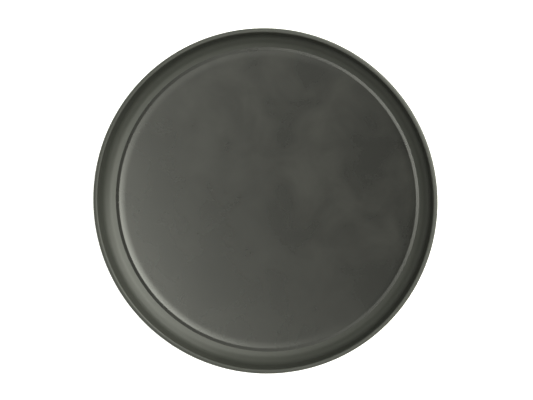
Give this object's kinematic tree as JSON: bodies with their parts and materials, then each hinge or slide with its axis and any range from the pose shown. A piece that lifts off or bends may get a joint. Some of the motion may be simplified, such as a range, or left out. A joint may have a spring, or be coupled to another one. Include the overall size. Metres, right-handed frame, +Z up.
{
  "type": "round serving tray",
  "caption": "Round serving tray: a gently dished moulded shell with a coved side wall, flat-topped rim and foot ring, and a bevel-edged non-slip liner bonded to its floor.",
  "frame": {"origin": "on the tray's axis, in the plane of the foot ring's flat face, which the tray stands on", "axes": "+Z up along the tray's axis, out of the open side; X and Y are in the plane it stands on"},
  "size_m": [0.356, 0.356, 0.0312],
  "materials": {
    "shell": "moulded satin",
    "liner": "smooth satin"
  },
  "bodies": {
    "root": {"tray_body": "shell", "grip_liner": "liner"}
  },
  "joints": []
}
